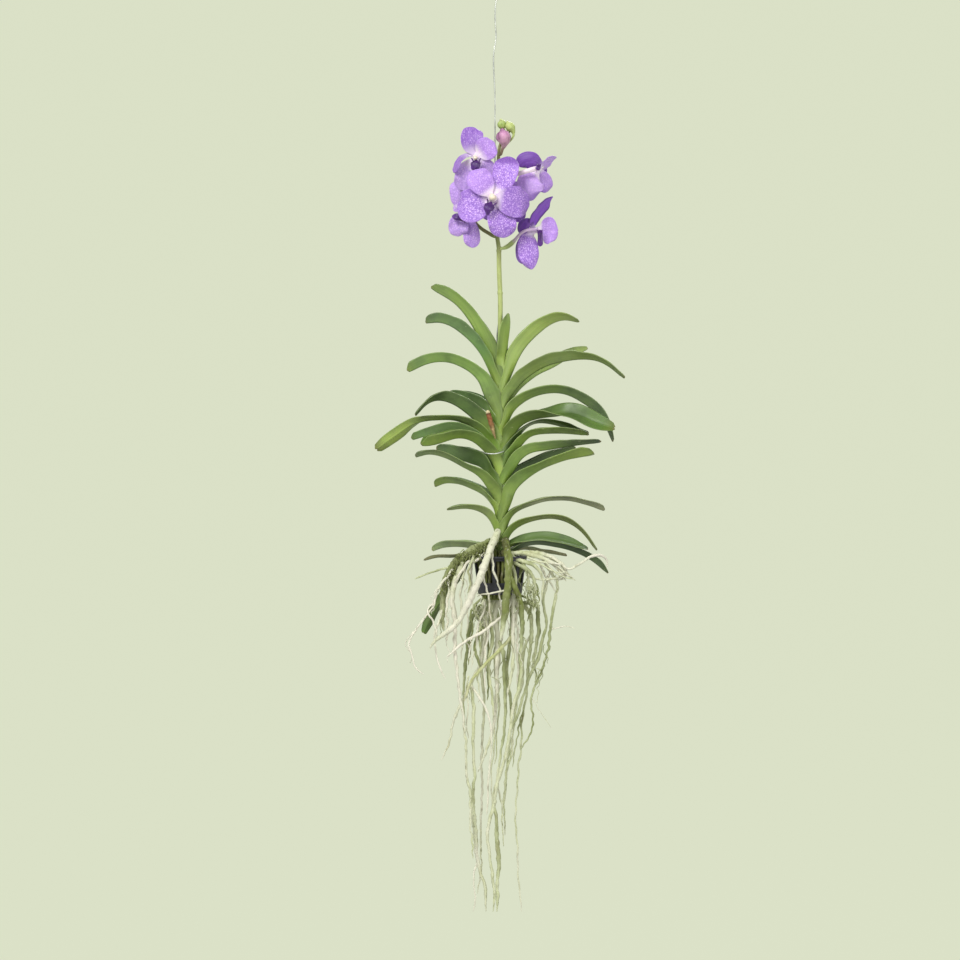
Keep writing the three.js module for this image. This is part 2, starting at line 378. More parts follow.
// roots: each growth is a list of roots, each root x, y, z, radius from its origin to its tip
const ROOTS = {
  root_front_white: [
    [[1.71,-12.6,-434.23,3.04],[-4.04,-29.68,-447.62,3.2],[-6.49,-33.88,-454.18,3.2],[-8.47,-35.08,-459.82,3.2],[-14.46,-34.16,-475.01,3.11],[-27.79,-29.51,-502.16,2.66],[-33.0,-28.75,-508.32,2.51],[-46.01,-26.86,-518.03,1.79],[-50.63,-26.0,-524.63,0.78]]],
  root_front_green: [
    [[7.44,-14.0,-441.96,3.12],[8.84,-29.0,-448.69,3.19],[9.22,-31.76,-451.59,3.1],[9.63,-33.95,-457.37,2.97],[9.22,-33.24,-475.77,2.95],[7.0,-29.73,-497.93,2.91],[4.6,-27.58,-511.89,2.2],[3.7,-27.0,-517.95,1.17]],
    [[9.72,-33.5,-463.81,1.95],[17.04,-30.84,-482.48,2.11],[20.14,-27.4,-495.87,1.91],[20.66,-24.33,-509.7,1.56],[19.21,-21.3,-527.64,1.56],[20.01,-19.84,-541.7,1.64],[18.74,-19.4,-551.75,1.63],[13.46,-18.41,-571.29,1.56],[11.01,-17.58,-589.35,1.63],[8.44,-16.93,-605.34,1.57],[1.52,-15.96,-628.62,2.02],[-1.58,-16.0,-646.6,1.99],[-5.58,-16.0,-662.3,1.56],[-5.63,-16.0,-678.49,1.4],[-3.09,-16.0,-696.55,1.34],[-1.13,-16.0,-712.64,1.32],[-2.02,-16.0,-728.8,0.62]],
    [[-1.64,-16.0,-646.34,1.4],[0.38,-15.49,-656.48,1.58],[1.58,-15.5,-679.24,2.14],[2.53,-15.5,-693.74,1.93],[1.28,-15.5,-708.16,1.49],[1.66,-15.5,-718.54,1.52],[0.92,-15.5,-728.88,0.7]]],
  root_left_green: [
    [[-2.55,-11.5,-442.4,3.12],[-10.53,-17.19,-445.86,3.49],[-17.77,-18.92,-449.47,3.51],[-28.1,-17.91,-456.47,3.51],[-34.66,-16.09,-464.31,3.37],[-38.17,-14.89,-471.77,3.08],[-40.46,-14.15,-481.88,2.61],[-41.31,-14.0,-498.5,2.16],[-40.3,-14.0,-510.94,1.17]],
    [[-24.47,-18.4,-453.77,1.95],[-31.99,-20.17,-474.72,2.03],[-33.51,-20.33,-486.8,1.96],[-31.56,-19.97,-502.95,1.78],[-31.33,-20.02,-529.38,1.55],[-27.98,-19.1,-559.69,1.33],[-24.83,-18.16,-579.75,1.29],[-22.64,-18.0,-604.06,1.17],[-22.7,-18.0,-620.32,1.17],[-19.66,-18.0,-638.38,1.17],[-19.52,-18.0,-660.75,0.99],[-17.51,-18.0,-687.11,0.62]],
    [[-31.82,-17.2,-461.24,1.33],[-34.57,-19.65,-466.46,1.21],[-42.95,-20.01,-475.56,1.09],[-48.89,-21.38,-493.15,0.89],[-61.28,-21.98,-509.7,0.74],[-66.03,-22.0,-519.03,0.74],[-66.51,-22.0,-525.07,0.74],[-62.82,-22.0,-537.13,0.74],[-59.56,-22.0,-542.16,0.71],[-55.8,-22.0,-544.49,0.62]],
    [[-40.61,-14.0,-490.78,1.17],[-45.66,-18.69,-508.69,0.84],[-47.27,-19.87,-521.35,0.75],[-44.11,-19.99,-535.92,0.74],[-39.14,-20.0,-547.72,0.62]]],
  roots_left_hanging: [
    [[-0.29,-10.2,-458.34,1.79],[-3.12,-10.51,-465.97,1.95],[-7.31,-8.74,-481.64,2.01],[-9.75,-14.14,-494.45,2.18],[-8.65,-13.25,-518.82,1.86],[-11.7,-12.18,-536.83,1.68],[-13.07,-12.0,-540.64,1.72],[-17.05,-12.0,-547.73,1.64],[-29.47,-12.0,-573.34,1.37],[-37.36,-12.0,-602.75,0.88],[-41.96,-12.0,-611.89,0.62]],
    [[-19.69,-12.0,-553.32,1.17],[-7.29,-14.52,-572.04,1.17],[-3.37,-15.04,-585.86,1.03],[-4.17,-13.98,-614.58,0.94],[-5.91,-14.01,-635.07,0.9],[-6.82,-14.0,-653.54,0.7]],
    [[-19.85,-12.0,-552.93,1.33],[-17.89,-11.49,-560.86,1.48],[-17.13,-10.95,-573.1,1.67],[-17.44,-11.0,-601.74,1.41],[-16.32,-11.0,-622.17,1.42],[-17.66,-11.0,-648.7,2.1],[-15.82,-11.0,-669.08,2.33],[-14.39,-11.0,-687.44,1.83],[-8.19,-11.0,-711.16,1.53],[-7.43,-11.0,-729.57,0.62]],
    [[-13.64,-11.0,-690.37,0.94],[-17.05,-11.93,-703.11,0.79],[-15.68,-12.01,-722.93,0.67],[-17.37,-12.0,-729.41,0.47]],
    [[-8.52,-14.0,-507.84,1.4],[-13.12,-16.77,-514.5,1.48],[-16.06,-17.98,-522.52,1.41],[-15.4,-17.83,-528.85,1.36],[-12.09,-16.5,-539.06,1.17]]],
  roots_centre_hanging: [
    [[4.24,-6.2,-466.63,1.79],[3.28,-5.96,-476.79,2.0],[-0.54,-6.96,-498.94,1.95],[1.6,-7.0,-523.35,2.18],[1.02,-7.0,-541.74,2.15],[1.11,-7.0,-558.09,1.97],[-0.58,-7.0,-580.5,1.56],[-3.61,-7.0,-594.48,1.33],[-13.49,-7.0,-621.33,0.78]],
    [[1.44,-7.0,-519.08,1.79],[5.21,-8.89,-526.13,1.79],[6.83,-10.04,-538.24,1.79],[7.24,-10.0,-560.77,1.69],[7.61,-10.0,-581.25,1.39],[3.76,-10.0,-607.61,1.18],[1.48,-10.0,-630.04,1.02],[5.28,-10.0,-652.24,0.74],[6.23,-10.0,-678.86,0.55]],
    [[2.3,-6.2,-481.79,1.33],[-2.45,-9.06,-490.43,1.48],[-4.11,-11.1,-500.34,1.48],[-2.31,-11.8,-518.73,1.56],[-5.66,-11.98,-538.95,1.33],[-2.39,-12.56,-563.36,1.17],[-1.85,-12.5,-577.71,0.86]]],
  roots_right_arch: [
    [[10.36,-16.4,-451.51,1.64],[11.53,-16.91,-455.42,1.64],[12.36,-18.77,-459.04,1.64],[14.59,-26.6,-465.37,1.64],[15.44,-28.03,-469.01,1.62],[14.64,-26.55,-479.31,1.56],[8.9,-23.54,-494.34,1.64],[4.04,-22.54,-500.93,1.64],[-7.22,-21.97,-509.91,1.58],[-23.21,-23.03,-519.15,1.48],[-37.55,-24.0,-530.85,0.78]],
    [[14.72,-27.0,-476.35,1.4],[13.33,-22.85,-502.66,1.64],[13.9,-20.53,-529.23,1.57],[8.94,-19.5,-561.67,0.78]],
    [[13.55,-21.6,-513.62,1.17],[6.95,-20.66,-521.89,1.28],[-6.39,-19.03,-535.49,1.25],[-17.59,-17.57,-548.22,1.18],[-24.48,-15.2,-565.87,0.86]],
    [[7.9,-14.6,-452.02,1.79],[11.35,-17.24,-451.5,1.94],[15.47,-17.78,-451.26,1.95],[32.29,-14.94,-451.57,1.94],[38.54,-14.5,-452.86,1.88],[44.43,-14.83,-455.33,1.78],[51.43,-15.04,-460.05,1.54],[54.91,-14.94,-465.66,1.31],[53.7,-15.26,-469.5,1.1],[47.92,-16.0,-472.11,0.94]],
    [[31.29,-15.0,-451.7,1.4],[35.6,-12.41,-455.32,1.34],[43.66,-10.26,-466.87,1.18],[47.75,-9.98,-473.97,1.17],[48.04,-10.02,-477.96,1.17],[42.4,-10.0,-510.22,1.17],[40.33,-10.0,-528.46,1.09],[36.72,-10.0,-540.17,1.09],[27.88,-10.0,-563.02,0.95],[29.04,-10.0,-581.33,0.86],[28.37,-10.0,-587.42,0.83],[26.28,-10.0,-593.18,0.78],[19.74,-10.0,-603.55,0.62]],
    [[39.83,-14.5,-453.57,1.01],[44.96,-18.11,-453.72,0.87],[50.46,-20.51,-455.22,0.86],[59.97,-22.02,-459.27,0.86],[66.11,-21.51,-459.25,0.86],[71.75,-19.61,-457.24,0.86],[79.51,-14.23,-452.96,0.86],[83.11,-9.73,-450.54,0.79],[84.06,-4.0,-448.4,0.62]],
    [[42.64,-10.6,-465.71,1.01],[38.84,-8.64,-477.17,1.09],[37.4,-7.96,-485.15,1.09],[39.48,-8.0,-509.48,1.01],[36.07,-8.0,-519.05,1.38],[33.9,-8.0,-531.08,1.52],[26.57,-8.0,-547.88,1.45],[20.6,-8.0,-565.21,1.33],[16.0,-8.0,-580.84,1.24],[12.47,-8.0,-588.19,1.01]]],
  roots_right_hanging: [
    [[7.77,-12.4,-457.89,1.56],[8.76,-11.9,-461.83,1.63],[13.37,-5.7,-473.66,1.79],[15.56,-5.12,-485.57,1.79],[25.89,-0.45,-497.16,1.67],[27.96,-0.02,-502.73,1.61],[27.47,-2.05,-522.98,1.47],[25.28,-2.0,-541.1,1.34],[24.37,-2.0,-559.32,1.16],[21.35,-2.0,-577.3,1.01],[20.11,-2.0,-595.51,0.94],[18.56,-2.0,-613.67,0.87],[17.18,-2.0,-631.86,0.86],[15.8,-2.0,-650.05,0.86],[16.72,-2.0,-678.4,0.86],[17.81,-2.0,-706.76,0.78],[20.25,-2.0,-730.94,0.51]],
    [[19.83,-3.8,-490.45,1.33],[23.66,-5.22,-490.24,1.44],[28.32,-5.36,-490.79,1.51],[31.9,-5.0,-492.76,1.56],[32.78,-4.84,-494.44,1.58],[33.42,-3.97,-513.87,1.52],[28.41,-3.5,-541.09,0.86]],
    [[27.89,-1.6,-514.71,1.01],[24.05,0.64,-521.64,1.15],[21.69,1.91,-531.54,1.24],[20.83,2.0,-554.12,1.17],[16.1,2.0,-569.8,1.14],[13.19,2.0,-598.4,0.94],[12.62,2.0,-608.66,0.86],[8.22,2.0,-624.47,0.94],[5.4,2.0,-646.85,0.58]]],
  roots_back: [
    [[3.5,-1.6,-452.36,1.72],[2.87,1.47,-457.58,1.79],[-1.54,3.0,-466.53,1.79],[-4.15,2.95,-482.5,1.79],[-5.98,7.59,-495.69,1.78],[-8.02,7.74,-507.72,1.7],[-10.84,5.16,-525.5,1.61],[-11.25,3.8,-537.54,1.55],[-9.4,2.74,-559.7,1.41],[-9.01,2.35,-575.85,1.3],[-10.06,1.96,-594.03,1.23],[-10.93,2.0,-610.18,1.17],[-10.5,2.0,-640.51,1.05],[-11.76,2.0,-670.82,0.95],[-10.9,2.0,-693.04,0.85],[-13.96,2.0,-717.11,0.55]],
    [[-1.94,3.0,-468.1,1.4],[1.83,4.36,-472.73,1.51],[8.02,4.28,-483.36,1.63],[11.63,8.14,-492.02,1.72],[12.95,9.01,-500.05,1.72],[12.64,7.94,-512.23,1.66],[9.11,6.21,-540.45,1.53],[9.37,6.01,-550.62,1.48],[12.39,6.01,-578.89,1.26],[11.1,6.0,-597.22,1.16],[9.73,6.0,-613.44,1.12],[7.02,6.0,-645.88,0.93],[7.46,6.0,-672.34,0.7]],
    [[-4.82,5.4,-488.51,1.33],[-9.45,8.1,-491.67,1.42],[-13.71,9.35,-495.97,1.53],[-17.16,9.57,-501.12,1.63],[-19.88,8.97,-508.82,1.64],[-22.4,6.71,-529.15,1.58],[-24.52,5.32,-551.6,1.35],[-24.97,4.97,-570.08,1.13],[-24.21,5.0,-588.56,0.94]]]
};

// flowers: c = centre, col = column, stalk = stalk and ovary (x, y, z, radius),
// tepals and lip: stations x, y, z, half width, roll; cup = cupping, face = side that faces out
const FLOWERS = {
  a: {c:[-15.49,-21.0,-144.99],
   col:[[-15.49,-21.0,-144.99,2.11],[-15.64,-25.0,-145.76,2.26],[-15.79,-28.5,-146.62,1.79]],
   stalk:[[0.49,-10.4,-156.74,1.01],[-3.17,-12.5,-152.7,1.05],[-8.99,-16.5,-148.11,1.17],[-14.79,-20.5,-145.32,1.33]],
   tepals:{
    dorsal:{cup:0.2,face:-1,r:[[-16.11,-21.5,-142.5,2.97,-2.0],[-17.55,-22.63,-138.56,6.46,-3.7],[-18.34,-23.0,-134.29,8.39,-4.0],[-18.16,-22.11,-130.04,8.74,-4.0],[-17.68,-20.6,-126.03,7.95,-4.0],[-16.73,-18.5,-122.27,4.37,-4.0]]},
    petal_r:{cup:0.1,face:-1,r:[[-13.63,-22.0,-143.72,3.15,4.0],[-11.36,-24.06,-142.32,6.89,7.3],[-8.9,-25.54,-140.58,9.06,8.0],[-6.41,-26.23,-138.49,9.52,8.0],[-4.04,-26.33,-136.15,8.67,8.0],[-1.91,-25.2,-133.75,4.77,8.0]]},
    petal_l:{cup:0.12,face:-1,r:[[-20.12,-21.5,-143.81,1.47,24.0],[-23.78,-22.43,-144.76,3.32,54.1],[-26.54,-23.68,-147.12,4.69,60.0],[-28.66,-24.64,-150.2,5.05,60.0],[-30.47,-25.21,-153.58,4.3,60.0],[-32.13,-25.5,-157.07,2.14,60.0]]},
    sepal_l:{cup:0.1,face:-1,r:[[-17.34,-21.0,-147.77,2.74,-4.0],[-19.91,-21.0,-151.89,5.99,-7.3],[-22.07,-21.37,-156.23,7.87,-8.0],[-23.55,-21.57,-160.84,8.27,-8.0],[-24.6,-21.58,-165.57,7.53,-8.0],[-25.38,-21.4,-170.37,4.14,-8.0]]},
    sepal_r:{cup:0.1,face:-1,r:[[-13.94,-21.0,-147.77,2.47,5.0],[-11.68,-20.62,-149.96,5.48,9.2],[-9.5,-20.22,-152.24,7.53,10.0],[-7.51,-19.82,-154.66,8.11,10.0],[-5.71,-19.42,-157.25,7.41,10.0],[-4.05,-19.0,-159.92,4.09,10.0]]}},
   lip:{cup:-0.25,face:-1,r:[[-15.25,-27.2,-148.94,3.04,0.0],[-15.32,-28.99,-150.49,4.06,0.0],[-15.83,-29.4,-152.73,3.85,0.0],[-16.72,-28.99,-154.87,2.43,0.0],[-17.33,-27.6,-156.68,1.46,0.0]]}},
  b: {c:[-2.72,-34.5,-178.32],
   col:[[-2.57,-34.5,-178.32,2.96],[-2.59,-38.5,-178.42,3.74],[-2.6,-42.5,-178.36,3.35]],
   stalk:[[1.57,-10.6,-185.87,1.01],[1.07,-16.0,-184.45,1.05],[-0.37,-25.0,-181.85,1.17],[-2.26,-33.5,-178.84,1.4]],
   tepals:{
    dorsal:{cup:0.12,face:-1,r:[[-0.88,-35.0,-174.84,3.08,-2.0],[2.78,-35.58,-169.67,6.8,-3.7],[5.64,-35.79,-163.96,9.2,-4.0],[7.56,-34.91,-157.97,9.83,-4.0],[8.47,-32.95,-152.06,8.97,-4.0],[8.84,-30.0,-146.33,4.94,-4.0]]},
    petal_l:{cup:0.12,face:-1,r:[[-4.73,-36.4,-175.6,3.39,3.0],[-7.13,-38.16,-172.08,7.39,5.5],[-9.8,-39.2,-168.49,9.58,6.0],[-12.58,-39.32,-164.84,9.98,6.0],[-15.28,-38.76,-161.21,9.09,6.0],[-17.76,-37.0,-157.71,4.99,6.0]]},
    petal_r:{cup:0.1,face:-1,r:[[0.49,-35.8,-178.76,4.08,-2.0],[5.39,-37.52,-179.76,8.92,-3.7],[10.51,-38.15,-180.85,11.73,-4.0],[15.66,-37.71,-181.8,12.32,-4.0],[20.65,-36.29,-182.61,11.23,-4.0],[25.39,-34.0,-183.34,6.17,-4.0]]},
    sepal_l:{cup:0.12,face:-1,r:[[-5.33,-34.6,-179.56,4.44,2.0],[-10.14,-35.56,-181.1,9.71,3.7],[-14.92,-36.15,-182.92,12.77,4.0],[-19.76,-35.89,-184.64,13.42,4.0],[-24.57,-34.9,-185.98,12.22,4.0],[-29.3,-33.0,-186.93,6.72,4.0]]},
    sepal_r:{cup:0.12,face:-1,r:[[-1.5,-34.8,-181.73,3.37,-1.5],[0.53,-35.95,-186.86,7.45,-2.8],[2.73,-36.18,-192.04,10.08,-3.0],[4.7,-35.85,-197.29,10.76,-3.0],[6.02,-34.54,-202.57,9.83,-3.0],[6.66,-32.4,-207.78,5.41,-3.0]]}},
   lip:{cup:-0.3,face:-1,r:[[-3.82,-41.0,-182.95,3.37,0.0],[-4.63,-43.17,-184.85,4.21,0.0],[-5.7,-44.36,-187.28,3.88,0.0],[-6.13,-43.5,-189.96,1.77,0.0],[-5.97,-41.6,-192.19,1.1,0.0]]}},
  c: {c:[32.06,-15.5,-153.5],
   col:[[32.06,-15.5,-153.5,1.79],[34.96,-10.0,-151.81,1.79],[37.41,-5.0,-150.47,1.4]],
   stalk:[[4.22,-8.8,-169.85,1.01],[7.32,-10.0,-164.46,1.05],[11.47,-14.0,-160.77,1.17],[15.9,-19.4,-158.57,1.4],[20.78,-23.4,-157.3,1.72],[26.49,-23.6,-155.63,1.87],[31.2,-19.4,-153.93,1.79]],
   tepals:{
    dorsal:{cup:-0.3,face:-1,r:[[34.07,-15.5,-151.33,2.48,-5.0],[31.77,-17.55,-149.34,5.42,-9.2],[28.43,-18.6,-148.12,7.13,-10.0],[24.74,-18.16,-148.18,7.49,-10.0],[21.52,-17.31,-149.02,6.82,-10.0],[18.73,-16.0,-151.54,3.75,-10.0]]},
    petal_far:{cup:0.1,face:-1,r:[[33.99,-12.0,-151.56,2.02,36.0],[36.33,-9.71,-150.34,4.39,53.2],[38.69,-7.8,-148.7,5.69,60.5],[41.18,-6.19,-146.87,5.78,64.5],[43.99,-4.87,-145.31,4.8,67.1],[47.08,-4.0,-143.98,2.3,68.0]]},
    petal_near:{cup:-0.25,face:-1,r:[[30.97,-15.5,-155.67,3.61,3.0],[28.44,-17.98,-159.24,7.85,5.5],[26.48,-19.62,-163.6,10.18,6.0],[26.31,-19.5,-168.49,10.61,6.0],[26.74,-18.44,-173.26,9.65,6.0],[28.48,-16.4,-177.6,5.3,6.0]]},
    sepal_low:{cup:-0.2,face:-1,r:[[33.5,-13.0,-154.46,2.28,-12.0],[35.48,-12.66,-157.47,5.06,-22.0],[37.1,-11.93,-160.63,6.95,-24.0],[38.16,-11.14,-163.99,7.49,-24.0],[38.52,-10.38,-167.49,6.84,-24.0],[38.39,-9.6,-171.02,3.77,-24.0]]},
    sepal_back:{cup:0.1,face:-1,r:[[32.44,-12.0,-152.65,1.95,30.0],[33.42,-6.72,-151.69,4.52,55.1],[33.88,-1.3,-151.67,6.86,60.0],[33.79,4.11,-152.05,7.8,60.0],[33.11,9.28,-153.53,7.18,60.0],[31.87,14.0,-156.05,3.98,60.0]]}},
   lip:{cup:-0.2,face:-1,r:[[33.31,-22.4,-151.33,1.72,0.0],[33.23,-23.25,-152.26,1.72,0.0],[33.0,-23.79,-153.29,1.72,0.0],[32.54,-23.99,-154.4,1.72,0.0],[32.05,-23.6,-155.47,1.72,0.0]]}},
  d: {c:[31.47,-14.0,-200.46],
   col:[[31.47,-14.0,-200.46,1.72],[34.53,-8.6,-199.2,1.72],[37.28,-3.8,-198.15,1.33]],
   stalk:[[5.0,-9.6,-214.82,1.17],[8.41,-10.0,-213.77,1.72],[11.94,-13.6,-211.58,1.87],[15.14,-18.0,-208.7,1.36],[18.65,-21.8,-205.01,1.17],[22.94,-23.8,-202.41,1.17],[27.44,-22.4,-201.36,1.25],[30.93,-17.6,-201.09,1.4]],
   tepals:{
    dorsal:{cup:0.1,face:-1,r:[[29.13,-14.5,-199.11,2.29,30.0],[29.38,-14.6,-193.34,4.94,45.7],[32.29,-14.38,-188.24,6.24,52.4],[36.04,-13.74,-183.83,6.11,55.5],[39.97,-12.94,-179.63,4.66,56.0],[44.07,-12.0,-175.61,1.9,56.0]]},
    petal_l:{cup:-0.3,face:-1,r:[[28.97,-15.0,-198.53,1.81,10.0],[27.03,-16.1,-196.0,3.98,18.4],[24.29,-17.5,-195.95,5.3,20.0],[22.02,-17.97,-197.83,5.53,20.0],[20.32,-17.95,-200.5,4.78,20.0],[19.02,-17.6,-203.41,2.44,20.0]]},
    petal_r:{cup:0.16,face:-1,r:[[33.96,-13.6,-201.04,3.71,3.0],[36.62,-12.66,-200.95,8.08,5.5],[39.41,-12.43,-201.01,10.48,6.0],[42.21,-12.52,-201.25,10.92,6.0],[44.9,-13.16,-201.69,9.94,6.0],[47.42,-14.4,-202.04,5.46,6.0]]},
    sepal_low:{cup:-0.2,face:-1,r:[[27.89,-14.6,-202.52,3.27,-4.0],[25.55,-16.95,-207.53,6.91,-7.3],[25.05,-18.37,-213.34,8.24,-8.0],[25.71,-18.4,-219.27,7.83,-8.0],[26.78,-18.13,-225.13,6.2,-8.0],[27.85,-16.6,-230.88,2.74,-8.0]]},
    sepal_back:{cup:0.1,face:-1,r:[[24.69,-11.6,-202.73,1.05,12.0],[21.56,-11.46,-206.71,2.44,22.0],[19.83,-11.2,-211.32,3.71,24.0],[19.42,-10.85,-216.27,4.15,24.0],[19.49,-10.55,-221.23,3.62,24.0],[20.83,-10.4,-226.06,1.86,24.0]]}},
   lip:{cup:-0.2,face:-1,r:[[34.17,-18.0,-201.58,2.03,0.0],[34.38,-19.76,-204.47,2.03,0.0],[34.49,-20.0,-207.63,2.03,0.0],[34.5,-19.86,-210.85,2.03,0.0],[34.32,-18.4,-213.84,2.03,0.0]]}},
  e: {c:[-24.82,-10.0,-185.81],
   col:[[-24.82,-10.0,-185.81,1.79],[-26.04,-14.0,-187.13,1.87],[-27.26,-17.5,-188.23,1.48]],
   stalk:[[-0.91,-11.0,-205.78,1.09],[-4.18,-11.6,-203.97,1.4],[-8.83,-12.4,-201.24,1.4],[-14.73,-12.4,-196.28,1.29],[-20.16,-11.4,-190.14,1.25],[-24.2,-10.4,-186.47,1.25]],
   tepals:{
    dorsal:{cup:0.12,face:-1,r:[[-25.9,-11.0,-183.43,2.64,-14.0],[-27.71,-12.62,-179.5,5.63,-25.7],[-28.8,-13.99,-175.25,6.86,-28.0],[-29.22,-14.4,-170.75,6.86,-28.0],[-29.29,-14.34,-166.17,6.21,-28.0],[-29.15,-13.0,-161.75,3.4,-28.0]]},
    petal_l:{cup:0.1,face:-1,r:[[-26.22,-10.0,-185.04,1.64,-25.0],[-27.68,-6.43,-182.98,3.8,-45.9],[-28.47,-2.59,-181.05,5.77,-50.0],[-28.63,1.35,-179.16,6.55,-50.0],[-28.61,5.22,-177.12,6.03,-50.0],[-28.38,9.0,-174.92,3.34,-50.0]]},
    petal_r:{cup:0.1,face:-1,r:[[-24.21,-9.0,-184.01,1.95,20.0],[-20.6,-6.35,-181.51,4.52,36.7],[-17.17,-3.25,-179.28,6.86,40.0],[-14.11,0.29,-177.22,7.8,40.0],[-11.27,4.1,-175.28,7.18,40.0],[-8.49,8.0,-173.45,3.98,40.0]]},
    sepal_l:{cup:0.15,face:-1,r:[[-26.52,-11.5,-189.84,2.71,-2.0],[-27.5,-13.76,-192.41,5.89,-3.7],[-28.25,-15.36,-195.4,7.64,-4.0],[-28.76,-15.99,-198.77,7.96,-4.0],[-28.97,-15.72,-202.24,7.24,-4.0],[-28.98,-14.2,-205.43,3.98,-4.0]]},
    sepal_r:{cup:0.14,face:-1,r:[[-23.11,-10.6,-190.22,1.87,2.0],[-21.19,-12.17,-194.54,4.22,3.7],[-19.64,-12.87,-199.18,5.98,4.0],[-18.66,-12.92,-204.03,6.55,4.0],[-18.24,-12.41,-208.92,6.0,4.0],[-18.14,-11.0,-213.69,3.32,4.0]]}},
   lip:{cup:-0.15,face:-1,r:[[-23.38,-19.0,-193.63,1.33,0.0],[-25.0,-20.89,-192.79,2.39,0.0],[-27.09,-21.86,-192.09,2.65,0.0],[-29.54,-22.16,-191.5,2.65,0.0],[-31.84,-21.25,-191.01,2.12,0.0],[-33.74,-19.6,-190.59,1.06,0.0]]}},
  f: {c:[1.67,17.0,-173.02],
   col:[[1.67,17.0,-173.02,1.95],[1.77,21.0,-172.94,2.03],[1.87,24.5,-172.9,1.64]],
   stalk:[[2.38,-5.6,-179.48,1.01],[2.89,0.5,-178.1,1.05],[2.63,8.5,-175.75,1.17],[1.89,16.0,-173.43,1.33]],
   tepals:{
    dorsal:{cup:0.12,face:1,r:[[1.9,17.5,-169.83,2.07,0.0],[2.23,19.17,-166.14,4.8,0.0],[2.62,20.09,-162.33,7.28,0.0],[3.06,20.52,-158.35,8.27,0.0],[3.56,20.36,-154.5,7.61,0.0],[4.11,18.6,-150.84,4.22,0.0]]},
    petal_l:{cup:0.12,face:1,r:[[-1.4,17.6,-171.7,2.34,0.0],[-4.9,19.24,-170.24,5.43,0.0],[-8.55,20.26,-168.79,8.24,0.0],[-12.36,20.92,-167.31,9.36,0.0],[-16.17,20.68,-166.21,8.61,0.0],[-19.96,19.0,-165.43,4.77,0.0]]},
    petal_r:{cup:0.12,face:1,r:[[4.89,17.6,-171.7,2.34,0.0],[8.44,19.21,-170.79,5.43,0.0],[12.07,20.23,-169.73,8.24,0.0],[15.81,20.9,-168.46,9.36,0.0],[19.45,20.71,-167.29,8.61,0.0],[23.0,19.0,-166.21,4.77,0.0]]},
    sepal_l:{cup:0.12,face:1,r:[[-0.77,17.2,-175.99,1.91,0.0],[-2.98,18.4,-178.17,4.43,0.0],[-5.23,19.12,-180.44,6.73,0.0],[-7.54,19.55,-182.8,7.64,0.0],[-9.73,19.3,-185.13,7.03,0.0],[-11.78,17.8,-187.41,3.9,0.0]]},
    sepal_r:{cup:0.12,face:1,r:[[4.42,17.2,-175.99,1.72,0.0],[7.88,18.53,-178.58,3.98,0.0],[11.47,19.23,-181.15,6.04,0.0],[15.21,19.59,-183.66,6.86,0.0],[19.04,19.19,-185.83,6.31,0.0],[22.98,17.8,-187.72,3.5,0.0]]}},
   lip:{cup:-0.25,face:1,r:[[1.78,22.0,-175.99,3.74,0.0],[1.89,24.54,-177.59,3.74,0.0],[2.05,25.74,-179.94,3.74,0.0],[2.12,25.87,-182.72,3.74,0.0],[2.11,24.6,-185.35,3.74,0.0]]}}
};

// ---- solids -----------------------------------------------------------------
const V = (x, y, z) => new THREE.Vector3(x, y, z);
const point = (row) => V(row[0], row[1], row[2]);

function tangents(points) {
  return points.map((p, i) => {
    const a = points[Math.max(0, i - 1)];
    const b = points[Math.min(points.length - 1, i + 1)];
    return b.clone().sub(a).normalize();
  });
}

// closed loft; turned round where its sections run the other way
function loft(sections) {
  let turn = 0;
  for (let i = 0; i < sections.length - 1; i++) {
    const middle = (s) => s.reduce((m, p) => m.add(p), V(0, 0, 0)).divideScalar(s.length);
    const a = middle(sections[i]), along = middle(sections[i + 1]).sub(a);
    const area = V(0, 0, 0);
    sections[i].forEach((p, k, s) => area.add(p.clone().sub(a).cross(s[(k + 1) % s.length].clone().sub(a))));
    turn += area.dot(along);
  }
  const ordered = turn < 0 ? sections.map((s) => [...s].reverse()) : sections;
  return clean(new LoftGeometry(ordered, { closed: true, capStart: true, capEnd: true }));
}

function clean(geometry) {
  const g = new THREE.BufferGeometry().copy(geometry);
  for (const name of Object.keys(g.attributes)) if (name !== "position") g.deleteAttribute(name);
  return mergeVertices(g, 1e-4);
}

function volume(g) {
  const p = g.attributes.position, ix = g.index;
  const a = V(), b = V(), c = V();
  let v = 0;
  for (let i = 0; i < ix.count; i += 3) {
    a.fromBufferAttribute(p, ix.getX(i)); b.fromBufferAttribute(p, ix.getX(i + 1)); c.fromBufferAttribute(p, ix.getX(i + 2));
    v += a.dot(b.cross(c)) / 6;
  }
  return v;
}

function solid(geometry) {
  const g = clean(geometry);
  return new wasm.Manifold(new wasm.Mesh({
    numProp: 3,
    vertProperties: new Float32Array(g.attributes.position.array),
    triVerts: new Uint32Array(g.index.array),
  }));
}

function fromSolid(s) {
  const m = s.getMesh();
  const g = new THREE.BufferGeometry();
  g.setAttribute("position", new THREE.BufferAttribute(new Float32Array(m.vertProperties), 3));
  g.setIndex(new THREE.BufferAttribute(new Uint32Array(m.triVerts), 1));
  return g;
}

function joined(geometries) {
  let s = solid(geometries[0]);
  for (const g of geometries.slice(1)) s = s.add(solid(g));
  return fromSolid(s);
}

